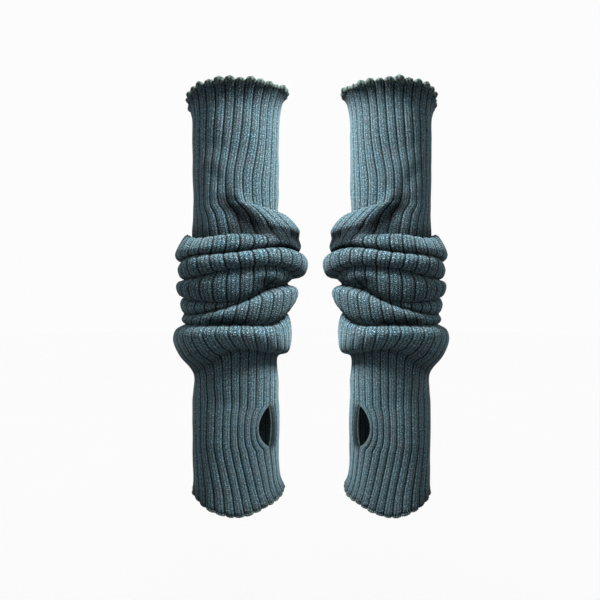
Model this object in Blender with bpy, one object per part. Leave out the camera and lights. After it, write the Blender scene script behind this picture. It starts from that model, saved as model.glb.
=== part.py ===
"""Pair of long rib-knit wrist warmers, filled out and bunched as on two hanging forearms.

Metres, +Z up, front towards -Y. The origin lies midway between the two wrists.
Each warmer is one ribbed tube. It is described by lines that run round it, from the arm end down to
the hand end: the rims, the tube, and the valley and crest of every roll that the cloth is bunched into.
"""
import math
from collections import namedtuple
from functools import partial

import bmesh
import bpy
import numpy as np
from mathutils import Vector

MM = 0.001

# Cloth
WALL = 1.8  # mm, cloth from its plain inside to the bottom of a groove
RIB_RISE = 1.1  # mm, a rib's height over its grooves
PRESSED = 0.5  # share of that rise that is left to the ribs in the valley between two rolls
MOST_MITRE = 1.8  # how much farther off the wall's faces may stand from its middle in a sharp turn
RIBS = 30
POINTS_PER_RIB = 2  # one in the groove and one on the rib
INSIDE_STEP = 3  # the plain inside has a point behind every third outside point

# Lettuce edges
RUFFLE_OUT = 1.0  # mm that each rib's end stands out from the rim
RUFFLE_UP = 0.8  # mm that each rib's end stands past the rim
EDGING_RADIUS = 1.1  # mm
THUMB_EDGING_RADIUS = 0.7  # mm
SEAM_GAP = 0.65  # mm between a lettuce edging and the rim that it finishes
THUMB_SEAM_GAP = 0.45  # mm between the thumb slit's edging and the lips that it finishes

# Rolls: where a roll's shoulders stand, as shares of the way from the valley beside it to its crest.
# Each roll sags onto the next one down, so its underside is the fuller.
TOP_ALONG, TOP_OUT = 0.38, 0.78
UNDER_ALONG, UNDER_OUT = 0.2, 0.72
ROUND_DEPTH = 8  # mm: a roll this deep or more has full shoulders
TOP_SHOULDERS = "cdefg"
UNDER_SHOULDERS = "abcdef"

# Thumb slit, in the groove that faces the front and the other warmer
SLIT_AZIMUTH = 53  # degrees from the front
SLIT_FRONT_LIP = 20  # degrees that the front lip is drawn back
SLIT_SIDE_LIP = 2.5  # degrees that the other lip is drawn back
SLIT_REACH = 26  # degrees over which the ribs beside it follow
SIDE_LIP_LIFT = 1.5  # mm that the other lip stands off

# The pair
AXIS_APART = 144.4  # mm between the two tubes' axes
TURNED_IN = 7  # degrees that each is turned towards the other
RIGHT_WIDTH = 0.93  # the right warmer is this much as wide

COLOUR_CLOTH = (0.105, 0.150, 0.170, 1.0)
COLOUR_EDGING = (0.135, 0.165, 0.170, 1.0)

# Each line: its heights over the wrist and its reaches from the tube's axis, in mm, at
# left, front-left, front, front-right, right, back-right, back and back-left, or one value all round.
Line = namedtuple("Line", "name heights reaches")
FOREARM = (36.5, 38, 36.5, 38.5, 39.5, 38, 36, 37.2)
HAND = (39, 37, 33, 37, 39, 36.5, 32, 36.5)
LINES = (
    Line(
        "arm_rim",
        (255, 261.5, 264.5, 264.5, 267.5, 263.5, 257.5, 254),
        (38.7, 42, 42, 44, 46.5, 44.5, 41.5, 41),
    ),
    Line(
        "arm_flare",
        (250, 256, 258.5, 258.5, 261.5, 258, 252, 249),
        (38.2, 40.5, 39.5, 41.5, 43.5, 41.5, 39.5, 40),
    ),
    Line(
        "arm_neck",
        (243, 245, 247, 247, 248, 246, 243, 242),
        (36.7, 38.5, 36.7, 39, 40.5, 38.7, 36.2, 38.2),
    ),
    Line("arm_high", 222, FOREARM),
    Line("arm_mid", (202, 203, 205, 201, 199, 201, 203, 204), FOREARM),
    Line("arm_low", (186, 187, 188, 181, 178, 181, 185, 187), FOREARM),
    Line(
        "a_valley",
        (171, 168, 167, 155, 153, 157, 168, 172),
        (36.7, 38.6, 38, 39.5, 40, 38.5, 37, 37.5),
    ),
    Line(
        "a_top",
        (164, 162, 164, 159, 156, 159.5, 162, 165),
        (36.8, 38.6, 39.5, 44, 46.5, 43.5, 38.5, 38.5),
    ),
    Line(
        "a_crest",
        (155, 153, 155, 147, 143, 149, 153, 157),
        (37, 39, 41, 52, 59.5, 50, 41, 40),
    ),
    Line(
        "b_valley",
        (130, 127, 132, 139, 135, 131, 130, 130),
        (39, 40.5, 44, 54.5, 58.5, 46, 41, 41),
    ),
    Line(
        "b_top",
        (138.5, 133.5, 136, 134.5, 132, 133, 136, 137),
        (43, 45, 48, 56, 59.5, 51, 46, 46),
    ),
    Line(
        "b_crest",
        (120, 123, 128, 130.5, 128, 124, 123, 121),
        (53.5, 53, 51.5, 57, 60.5, 57, 52, 54),
    ),
    Line(
        "c_valley",
        (114, 119.5, 122, 127, 121.5, 117, 115, 113.5),
        (46.5, 46.3, 45.5, 51, 57, 48, 44, 46),
    ),
    Line(
        "c_crest",
        (106, 110, 115, 118, 112, 109, 107, 106),
        (51, 54.5, 55, 60.5, 67, 60, 54, 54),
    ),
    Line(
        "d_valley",
        (97.5, 100.5, 108.5, 110, 99, 99.5, 98, 98),
        (45.5, 46, 46, 51.5, 53.5, 47, 45, 46),
    ),
    Line("d_crest", (92.5, 92, 97, 103, 97, 93, 90, 91), (52.7, 53, 51, 53, 50.5, 52, 51, 54)),
    Line(
        "e_valley",
        (83, 80, 80.5, 94.5, 95.3, 86, 83, 82.5),
        (44.7, 43.2, 43, 44, 48.3, 44, 42, 44),
    ),
    Line("e_crest", (76, 75, 79, 92.3, 93.5, 82, 76, 75), (49.7, 48.3, 42.3, 43.3, 48.3, 45, 47, 51)),
    Line(
        "f_valley",
        (67, 68.5, 77, 90, 91.8, 78, 69, 67),
        (46.5, 43.5, 43, 44, 49.5, 43, 42, 44.5),
    ),
    Line("f_crest", (62, 63, 70.5, 83, 85, 72, 63.5, 62), (48, 50, 51, 55.5, 58, 53, 49, 49)),
    Line("g_valley", (57.5, 59.5, 60.5, 60.5, 74.5, 63, 57, 56.5), (45, 44, 43.5, 44, 42, 42, 42, 44)),
    Line("g_crest", (43, 50.5, 53, 49, 44.5, 44, 44, 42), (56, 56, 53.5, 53, 51.5, 52, 51, 56)),
    Line("g_under", (30, 34, 42, 36.5, 30.5, 32, 34, 31), (51.2, 50.7, 45, 48, 48.5, 47, 45, 52)),
    Line("h_valley", (11.5, 21, 37, 33, 26, 23, 20, 14), (38.2, 39.5, 37.5, 39.5, 39, 38, 36, 38.5)),
    Line("wrist", (-3, 0, 6, 5, 1, 0, 0, -2), (37.8, 37.2, 34, 37.5, 39, 37, 33, 37)),
    Line("slit_1", -15, HAND),
    Line("slit_2", -19, HAND),
    Line("slit_3", -26, HAND),
    Line("slit_4", -34, HAND),
    Line("slit_5", -42, HAND),
    Line("slit_6", -49, HAND),
    Line("slit_7", -54, HAND),
    Line("palm", (-74, -75, -77, -76, -74, -73, -72, -73), HAND),
    Line(
        "hand_neck",
        (-88, -91, -95, -92, -88, -87, -88, -87),
        (39, 37.3, 33.7, 37.7, 40.5, 37.5, 33, 37),
    ),
    Line(
        "hand_flare",
        (-93, -98.5, -103.5, -98.5, -94.5, -92.5, -93.5, -91.5),
        (39.5, 38, 35.5, 39.5, 43, 39, 35, 37.5),
    ),
    Line(
        "hand_rim",
        (-96.5, -103.5, -109.5, -103.5, -98.5, -97, -98, -95),
        (40, 39, 37, 41, 45, 41, 36.5, 38.5),
    ),
)
# How far the ribs have swung round the tube at a line, in degrees at left, front, right and back,
# or at eight places round as above.
TURNS = {
    "arm_rim": (-20, -16, -18, -20),
    "arm_flare": (-20, -16, -18, -20),
    "arm_neck": (-20, -17, -18, -20),
    "arm_high": (-20, -21, -20, -20),
    "arm_mid": (-20, -20, -24, -25, -22, -20, -20, -20),
    "arm_low": (-19, -20, -27, -30, -24, -21, -20, -20),
    "a_valley": (-16, -18, -27, -28, -20, -19, -18, -17),
    "a_top": (-15, -18, -26, -24, -15, -17, -17, -16),
    "a_crest": (-12, -14, -18, -10, -4, -10, -15, -14),
    "b_valley": (-10, -9, -9, -3, 0, -7, -14, -12),
    "b_top": (-10, -2, 1, -13),
    "b_crest": (-10, -1, 2, -12),
    "c_valley": (-12, -9, -4, 1, 2, -5, -12, -13),
    "c_crest": (-7, -5, -2, 0, 2, -5, -12, -11),
    "d_valley": (-5, -2, 1, 1, 1, -5, -11, -9),
    "d_crest": (-10, -1, 0, -10),
    "e_valley": (-5, -1, 0, -9),
    "e_crest": (-5, -2, -1, -8),
    "f_valley": (-5, -2, -1, -8),
    "f_crest": (-7, -5, -5, -8),
    "g_valley": (-8, -11, -10, -8),
    "g_crest": (-8, -12, -11, -8),
    "g_under": (-5, -6, -4, -5),
    "h_valley": (-1, 0, 0, -2),
    "palm": (2, 8, 2, 0),
    "hand_neck": (4, 14, 4, 0),
    "hand_flare": (4, 16, 5, 0),
    "hand_rim": (5, 18, 5, 0),
}
# Pleats that cross the rolls: a ridge where out is above nought, a hollow where it is below.
# Each runs from one place to another, as degrees from the front and mm over the wrist.
Pleat = namedtuple("Pleat", "name start end width out")
PLEATS = (
    Pleat("ridge_over_a", (3, 169), (38, 147), 4.5, 2.5),
    Pleat("hollow_beside_it", (-12, 163), (19, 142), 7, -3),
    Pleat("pocket_under_a", (64, 136), (74, 133), 5, -3.5),
    Pleat("pocket_in_d", (30, 97), (42, 95), 4.5, -3),
    Pleat("ridge_behind", (168, 170), (205, 140), 5, 2.5),
    Pleat("pocket_behind", (150, 97), (160, 92), 5, -3),
)
PLEAT_REACH = 46  # mm from the axis, about where the pleats lie
LEFT_STATION = -90  # degrees from the front: where the first value in a row lies
LEVEL_LINES = {line.name: line.heights for line in LINES if np.isscalar(line.heights)}


def around(values, azimuths):
    """A row's values carried smoothly round the tube, at these azimuths in degrees from the front."""
    values = np.atleast_1d(np.asarray(values, float))
    count = len(values)
    place = (np.asarray(azimuths, float) - LEFT_STATION) / 360 * count
    before = np.floor(place).astype(int)
    t = place - before
    a, b, c, d = (values[(before + step) % count] for step in (-1, 0, 1, 2))
    return b + 0.5 * t * (c - a + t * (2 * a - 5 * b + 4 * c - d + t * (3 * (b - c) + d - a)))


def on_line(line, azimuths):
    """Heights, reaches and turns on a line, at these azimuths."""
    return np.array([around(row, azimuths) for row in (line.heights, line.reaches, TURNS.get(line.name, 0))])


def on_shoulder(valley, crest, along, out, azimuths):
    """The same on the shoulder between a valley and a crest, which is round where the roll is deep."""
    low, high = on_line(valley, azimuths), on_line(crest, azimuths)
    deep = np.clip((high[1] - low[1]) / ROUND_DEPTH, 0, 1)
    shares = 0.5 + (np.array([along, out, 0.5])[:, None] - 0.5) * deep
    return low + shares * (high - low)


def rings():
    """Every ring of the wall from the arm end down, as its name and what gives its place at an azimuth."""
    found = []
    for i, line in enumerate(LINES):
        crest = line.name.endswith("_crest")
        if crest and line.name[0] in TOP_SHOULDERS:
            top = partial(on_shoulder, LINES[i - 1], line, TOP_ALONG, TOP_OUT)
            found.append((line.name + "_top", top))
        found.append((line.name, partial(on_line, line)))
        if crest and line.name[0] in UNDER_SHOULDERS:
            under = partial(on_shoulder, LINES[i + 1], line, UNDER_ALONG, UNDER_OUT)
            found.append((line.name + "_under", under))
    return found


RINGS = rings()
NAMES = [ring[0] for ring in RINGS]
SLIT_FIRST, SLIT_LAST = NAMES.index("slit_1"), NAMES.index("slit_7")
RIMS = (0, len(RINGS) - 1)
COLUMNS = RIBS * POINTS_PER_RIB


def pleated(azimuths, heights):
    """How far the pleats bring the cloth out, in mm, at these places."""
    out = np.zeros(len(azimuths))
    for pleat in PLEATS:
        (from_turn, from_height), (to_turn, to_height) = pleat.start, pleat.end
        across = np.radians((azimuths - from_turn + 180) % 360 - 180) * PLEAT_REACH
        up = heights - from_height
        way = np.array([np.radians(to_turn - from_turn) * PLEAT_REACH, to_height - from_height])
        share = np.clip((across * way[0] + up * way[1]) / (way @ way), 0, 1)
        off = np.hypot(across - share * way[0], up - share * way[1])
        out += pleat.out * np.exp(-((off / pleat.width) ** 2))
    return out


def middle_surface(ring, azimuths):
    """Points of the cloth's middle at one ring, before ribs and thickness, in mm."""
    heights, reaches, _ = RINGS[ring][1](azimuths)
    angle = np.radians(azimuths)
    out = reaches + pleated(azimuths, heights)
    return np.stack([out * np.sin(angle), -out * np.cos(angle), heights], axis=-1)


def unit(vectors):
    return vectors / np.linalg.norm(vectors, axis=-1, keepdims=True)


def outward(ring, azimuths):
    """The cloth's outward directions at one ring, longer in a sharp turn, where the wall would thin."""
    small = 2.0
    here = middle_surface(ring, azimuths)
    round_it = middle_surface(ring, azimuths + small) - middle_surface(ring, azimuths - small)
    ways = []
    if ring > 0:
        ways.append(unit(here - middle_surface(ring - 1, azimuths)))
    if ring < len(RINGS) - 1:
        ways.append(unit(middle_surface(ring + 1, azimuths) - here))
    down_it = np.mean(ways, axis=0)
    longer = np.minimum(1 / np.linalg.norm(down_it, axis=-1, keepdims=True), MOST_MITRE)
    return unit(np.cross(down_it, round_it)) * longer


def slit_open(ring):
    """How far open the thumb slit is at a ring, from 0 at its ends to 1."""
    if not SLIT_FIRST < ring < SLIT_LAST:
        return 0.0
    top, bottom = LEVEL_LINES["slit_1"], LEVEL_LINES["slit_7"]
    along = 2 * (top - LEVEL_LINES[NAMES[ring]]) / (top - bottom) - 1
    return (1 - along * along) ** 0.8


def from_slit(columns, lip):
    """How far round the cloth its columns are from the thumb slit, in degrees, and on which side of it.

    Column 0 is the groove that is slit. lip is -1 for its front lip and 1 for its other one.
    """
    away = np.asarray(columns, float) * 360 / COLUMNS
    away = np.where(away > 180, away - 360, away)
    return away, np.where(away == 0, lip, np.sign(away))


def cloth_azimuths(ring, columns, lip):
    """Where the knitted columns of the cloth lie at a ring, in degrees from the front."""
    away, side = from_slit(columns, lip)
    drawn = np.where(side < 0, SLIT_FRONT_LIP, SLIT_SIDE_LIP) * side * np.exp(-np.abs(away) / SLIT_REACH)
    knitted = SLIT_AZIMUTH + away
    turns = RINGS[ring][1](knitted)[2]
    return knitted + turns + slit_open(ring) * drawn


def ruffle(ring, columns, azimuths):
    """The lettuce edge at a rim: each rib's end stands out and past the rim, in mm."""
    if ring not in RIMS:
        return np.zeros((len(columns), 3))
    past = 1 if ring == 0 else -1
    angle = np.radians(azimuths)
    wave = (np.asarray(columns) % POINTS_PER_RIB) * 2.0 - 1
    out = np.stack([np.sin(angle), -np.cos(angle), 0 * angle], axis=-1)
    return wave[:, None] * (RUFFLE_OUT * out + np.array([0, 0, RUFFLE_UP * past]))


def skin(ring, columns, raised, lip=-1):
    """Points of the wall at a ring: raised is their height over the cloth's middle surface, in mm."""
    columns = np.asarray(columns)
    azimuths = cloth_azimuths(ring, columns, lip)
    away, side = from_slit(columns, lip)
    lift = SIDE_LIP_LIFT * slit_open(ring) * np.exp(-away / SLIT_REACH) * (side > 0)
    raised = (raised + lift)[:, None]
    return middle_surface(ring, azimuths) + raised * outward(ring, azimuths) + ruffle(ring, columns, azimuths)


def outside(ring, lip=-1):
    columns = np.arange(COLUMNS)
    rise = RIB_RISE * (PRESSED if "valley" in NAMES[ring] else 1)
    return skin(ring, columns, rise * (columns % POINTS_PER_RIB), lip)


def inside(ring, lip=-1):
    columns = np.arange(0, COLUMNS, 1 if ring in RIMS else INSIDE_STEP)
    return skin(ring, columns, np.full(len(columns), -WALL), lip)


def fan(made, many, few):
    """Faces between a row of points and one with a point for every INSIDE_STEP of them."""
    half = (INSIDE_STEP + 1) // 2
    for i in range(len(few) - 1):
        span = many[i * INSIDE_STEP:(i + 1) * INSIDE_STEP + 1]
        for step in range(INSIDE_STEP):
            made.faces.new((span[step], span[step + 1], few[i] if step < half else few[i + 1]))
        made.faces.new((few[i], span[half], few[i + 1]))


def quads(made, upper, lower):
    for i in range(len(upper) - 1):
        made.faces.new((upper[i], lower[i], lower[i + 1], upper[i + 1]))


def tube_mesh(name, place):
    """The knitted tube as one closed wall, with the thumb slit cut through it."""
    made = bmesh.new()
    grids = {}
    for side, maker in (("out", outside), ("in", inside)):
        for ring in range(len(RINGS)):
            whole = [made.verts.new(place(p)) for p in maker(ring, -1)]
            first = whole[0]
            if SLIT_FIRST < ring < SLIT_LAST:
                first = made.verts.new(place(maker(ring, 1)[0]))
            grids[side, ring] = [first, *whole[1:], whole[0]]

    for ring in range(len(RINGS) - 1):
        quads(made, grids["out", ring], grids["out", ring + 1])
        if ring in RIMS:
            fan(made, grids["in", ring], grids["in", ring + 1])
        elif ring + 1 in RIMS:
            fan(made, grids["in", ring + 1], grids["in", ring])
        else:
            quads(made, grids["in", ring], grids["in", ring + 1])
        if SLIT_FIRST <= ring < SLIT_LAST:
            corners = (("out", ring), ("out", ring + 1), ("in", ring + 1), ("in", ring))
            for end in (0, -1):
                made.faces.new([grids[corner][end] for corner in corners])

    for ring in RIMS:
        quads(made, grids["out", ring], grids["in", ring])

    bmesh.ops.recalc_face_normals(made, faces=made.faces)
    mesh = bpy.data.meshes.new(name)
    made.to_mesh(mesh)
    made.free()
    return mesh


def rim_path(ring, neighbour):
    """The middle of a lettuce edging: along the rim, just past the wall's end."""
    columns = np.arange(COLUMNS)
    azimuths = cloth_azimuths(ring, columns, -1)
    past = middle_surface(ring, azimuths) - middle_surface(neighbour, azimuths)
    past /= np.linalg.norm(past, axis=-1, keepdims=True)
    middle = skin(ring, columns, (RIB_RISE * (columns % POINTS_PER_RIB) - WALL) / 2)
    return middle + past * (SEAM_GAP + EDGING_RADIUS)


def slit_path():
    """The middle of the thumb slit's edging: down the front lip and back up the other."""
    path = []
    for lip, step in ((-1, 1), (1, -1)):
        first, last = (SLIT_FIRST, SLIT_LAST)[::step]
        edge = [skin(ring, [0], np.array([-WALL / 2]), lip)[0] for ring in range(first, last + step, step)]
        for i in range(1, len(edge) - 1):
            out = outward(first + i * step, cloth_azimuths(first + i * step, [0], lip))[0]
            into_gap = unit(np.cross(out, edge[i + 1] - edge[i - 1]))
            path.append(edge[i] + into_gap * (THUMB_SEAM_GAP + THUMB_EDGING_RADIUS))
    return path


def add(data, name, colour, collection):
    """An object made from this mesh or curve, with a material of its own."""
    material = bpy.data.materials.new(name)
    material.use_nodes = True
    shader = material.node_tree.nodes["Principled BSDF"]
    shader.inputs["Base Color"].default_value = colour
    shader.inputs["Roughness"].default_value = 0.9
    shader.inputs["Metallic"].default_value = 0.0
    data.materials.append(material)
    collection.objects.link(bpy.data.objects.new(name, data))


def edging(name, path, radius, collection):
    """A thin closed roll along a path, for a bound or overlocked edge."""
    curve = bpy.data.curves.new(name, "CURVE")
    curve.dimensions = "3D"
    curve.bevel_depth = radius * MM
    curve.bevel_resolution = 0
    spline = curve.splines.new("POLY")
    spline.points.add(len(path) - 1)
    for point, where in zip(spline.points, path):
        point.co = (*where, 1)
    spline.use_cyclic_u = True
    add(curve, name, COLOUR_EDGING, collection)


def placer(side):
    """Carries a point of the left warmer, in mm about its own axis, to its place in the pair, in metres."""
    turn = math.radians(TURNED_IN)

    def place(point):
        x = point[0] * math.cos(turn) - point[1] * math.sin(turn)
        y = point[0] * math.sin(turn) + point[1] * math.cos(turn)
        if side == "right":
            x = -x * RIGHT_WIDTH + AXIS_APART
        return Vector((x - AXIS_APART / 2, y, point[2])) * MM

    return place


def warmer(side, collection):
    """One warmer of the pair: the knitted tube, its two lettuce edgings and the thumb slit's edging."""
    place = placer(side)
    top, bottom = RIMS
    add(tube_mesh(side + "_tube", place), side + "_tube", COLOUR_CLOTH, collection)
    edging(side + "_arm_edging", [place(p) for p in rim_path(top, top + 1)], EDGING_RADIUS, collection)
    edging(side + "_hand_edging", [place(p) for p in rim_path(bottom, bottom - 1)], EDGING_RADIUS, collection)
    edging(side + "_thumb_edging", [place(p) for p in slit_path()], THUMB_EDGING_RADIUS, collection)


def main():
    for obj in list(bpy.data.objects):
        bpy.data.objects.remove(obj)
    collection = bpy.data.collections.new("wrist_warmers")
    bpy.context.scene.collection.children.link(collection)
    for side in ("left", "right"):
        warmer(side, collection)


if __name__ == "__main__":
    main()
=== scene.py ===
"""The looks of a pair of rib-knit wrist warmers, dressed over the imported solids.

Laid out as a Blender add-on and run as a script. The cloth follows the same lines round the
tube as the solids do, with ribs that are rounded, folds that are smooth, and edges that are sewn.
"""

import math
from collections import namedtuple
from functools import partial

import bmesh
import bpy
import numpy as np
from bpy.props import FloatProperty, FloatVectorProperty, IntProperty, PointerProperty
from mathutils import Matrix, Vector, noise


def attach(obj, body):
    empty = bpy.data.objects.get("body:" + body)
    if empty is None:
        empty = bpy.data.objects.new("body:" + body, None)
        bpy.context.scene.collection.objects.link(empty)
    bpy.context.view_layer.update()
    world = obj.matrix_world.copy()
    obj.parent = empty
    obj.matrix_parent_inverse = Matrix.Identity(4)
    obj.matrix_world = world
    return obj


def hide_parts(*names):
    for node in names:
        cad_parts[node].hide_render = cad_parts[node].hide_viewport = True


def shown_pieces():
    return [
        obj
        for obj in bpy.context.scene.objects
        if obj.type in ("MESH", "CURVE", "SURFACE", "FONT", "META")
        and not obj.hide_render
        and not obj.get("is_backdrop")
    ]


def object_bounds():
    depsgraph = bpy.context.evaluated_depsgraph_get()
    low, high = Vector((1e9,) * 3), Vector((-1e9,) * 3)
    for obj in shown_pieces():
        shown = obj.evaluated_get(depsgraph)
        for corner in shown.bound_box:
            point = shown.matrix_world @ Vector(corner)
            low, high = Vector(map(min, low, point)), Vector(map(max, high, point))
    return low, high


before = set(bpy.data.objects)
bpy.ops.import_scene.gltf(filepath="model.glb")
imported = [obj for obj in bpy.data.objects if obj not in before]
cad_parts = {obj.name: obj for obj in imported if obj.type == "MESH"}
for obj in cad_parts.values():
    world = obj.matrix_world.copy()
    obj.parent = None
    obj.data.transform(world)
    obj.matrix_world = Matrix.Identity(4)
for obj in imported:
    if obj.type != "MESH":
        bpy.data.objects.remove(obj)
CAD_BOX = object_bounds()

bl_info = {
    "name": "Rib-Knit Wrist Warmers",
    "version": (1, 0, 0),
    "blender": (4, 5, 0),
    "location": "View3D > Sidebar > Wrist Warmers",
    "description": "Knits a pair of bunched wrist warmers over their solids",
    "category": "Add Mesh",
}

MM = 0.001
MATH = "ShaderNodeMath"
SIDES = ("left", "right")

# The cloth, as the solids have it
RIBS = 30
# degrees that the thumb slit's front lip, at -1, and its other lip, at 1, are drawn back
MOST_DRAW = {-1: 20, 1: 2.5}
SLIT_AZIMUTH = 53  # degrees from the front
SLIT_REACH = 26  # degrees over which the ribs beside the slit follow it
SLIT_TOP, SLIT_BOTTOM = -15, -54  # mm over the wrist
SLIT_POINT = 0.8  # lower is a slit with blunter ends
SIDE_LIP_LIFT = 1.5  # mm that the other lip stands off
# where a roll's shoulders lie between a valley and the crest, as shares of the way down and out
TOP_ALONG, TOP_OUT = 0.38, 0.78
UNDER_ALONG, UNDER_OUT = 0.2, 0.72
ROUND_DEPTH = 8  # mm: a roll this deep or more has full shoulders
TOP_SHOULDERS, UNDER_SHOULDERS = "cdefg", "abcdef"  # the rolls that have them

# The knit, which is finer than the solids
RIB_SHOULDER, RIB_ROUNDING = 0.8, 0.2  # shares of a rib's rise that are steep and that are round
WANDER_SIZE = 34  # mm across the swells by which the ribs wander from straight
RIPPLE_SIZE = 17  # mm across the cloth's soft unevenness
RUFFLE_REACH, RUFFLE_FADE = 1.4, 1.6  # rings over which a rim's wave dies away, and how fast
SCALLOP_FULLNESS = 0.8  # lower is a fuller wave with narrower notches
WAVES_DIFFER, WAVE_STEP = 0.5, 2.4  # how far single waves differ, and radians from one to the next
INNER_COLUMNS = 2  # faces across a rib on the plain inside

# The edges' rolls of yarn
ROLL_SIDES = 9
EDGE_ROWS = (0.0, 0.12, 0.24)  # rings in from a rim, from which an edge's way out is read
EDGE_PAST = 0.5  # mm that an edge's middle lies past the rim
FACES_PER_STRAND = 5
STRAND_DEPTH = {"arm": 0.12, "hand": 0.12, "thumb": 0.15}  # shares of the radius
BEADS = {"arm": 0.3, "hand": 0.12}  # how far the beads swell and shrink, in the same shares
BEADS_DIFFER, BEAD_STEP = 0.22, 1.7  # how far single beads differ, and radians from one to the next
LIP_POINTS = 90  # points down each lip of the thumb slit
LIP_INSIDE = 0.01  # rings that they keep inside the slit's ends
LIP_COLUMNS = 8  # columns per rib from which a lip's slant is read

# The yarn in the knit
RIB_PITCH = 7.9  # mm
LEG_SLANT = 1.3  # stitches that the leg of a V climbs over one wale
WALE_EDGE = 2.4  # higher is a narrower line where two wales meet
GROOVE_EDGE = 24  # higher is a narrower line of painted shade between two ribs
GROOVE_SHADE_TINT = (0.03, 0.045, 0.05, 1)  # painted shade in the grooves: what is left of the colour at a groove's bottom
# painted shade: what is left of the colour where the cloth gets full painted shade
PAINTED_SHADE_TINT = (0.16, 0.16, 0.16, 1)
FLECK_WIDTH, FLECK_LENGTH = 0.6, 1.4  # mm
BLOTCH_SIZE, LOT_SIZE = 24, 12  # mm
EDGE_YARN = "bulked_overlock_yarn"
EDGE_FLECK = 1.6  # mm

# The pair
AXIS_APART = 144.4  # mm between the two tubes' axes
TURNED_IN = 7  # degrees that each is turned towards the other
RIGHT_WIDTH = 0.93  # the right warmer is this much as wide

# The stage, in metres
FLOOR_RADIUS = 6
SOFT_BOX_SIZE = 0.3
SOFT_BOX_AT = (0.5, -0.27, 0.85)  # inward, to the front and up from what it aims at
LIT_HEIGHT = 0.07  # of what it aims at
CAMERA_X, CAMERA_HEIGHT, AIM_HEIGHT = -0.012, 0.104, 0.079
SENSOR_WIDTH = 36  # mm
LENS = 538 / 600  # as a share of the sensor's width

# Each line: its heights over the wrist and its reaches from the tube's axis, in mm, at left,
# front-left, front, front-right, right, back-right, back and back-left, or one value all round.
Line = namedtuple("Line", "name heights reaches")
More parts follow.
